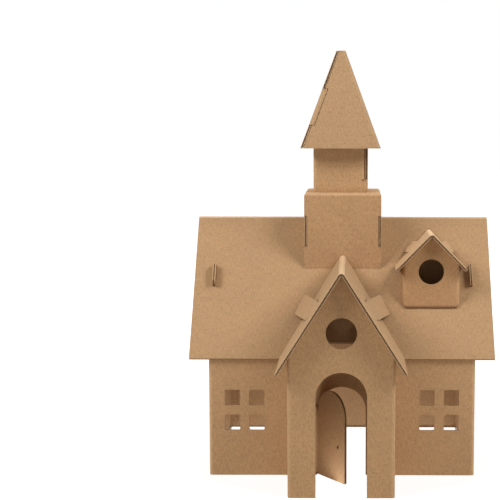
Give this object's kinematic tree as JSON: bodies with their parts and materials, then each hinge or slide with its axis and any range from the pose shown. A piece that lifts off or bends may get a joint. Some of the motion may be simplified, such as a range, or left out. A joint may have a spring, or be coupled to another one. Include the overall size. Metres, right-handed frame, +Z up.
{
  "type": "cardboard castle",
  "caption": "Toy castle of folded and tucked corrugated sheets: a house with a pitched roof, a gabled porch with an arched door, a dormer, and a tower with a spire.",
  "frame": {"origin": "on the floor, under the middle of the castle's box", "axes": "+Z up, the door looks towards -Y, +X to the right of someone facing the door"},
  "size_m": [0.1968, 0.1868, 0.2756],
  "materials": {
    "kraft_board": "bare brown kraft liner, matt, with faint flute lines"
  },
  "bodies": {
    "root": {"house_walls": "kraft_board", "main_roof": "kraft_board", "porch_walls": "kraft_board", "porch_roof": "kraft_board", "dormer_walls": "kraft_board", "dormer_roof": "kraft_board", "tower_base": "kraft_board", "tower_upper": "kraft_board", "spire": "kraft_board"}
  },
  "joints": []
}
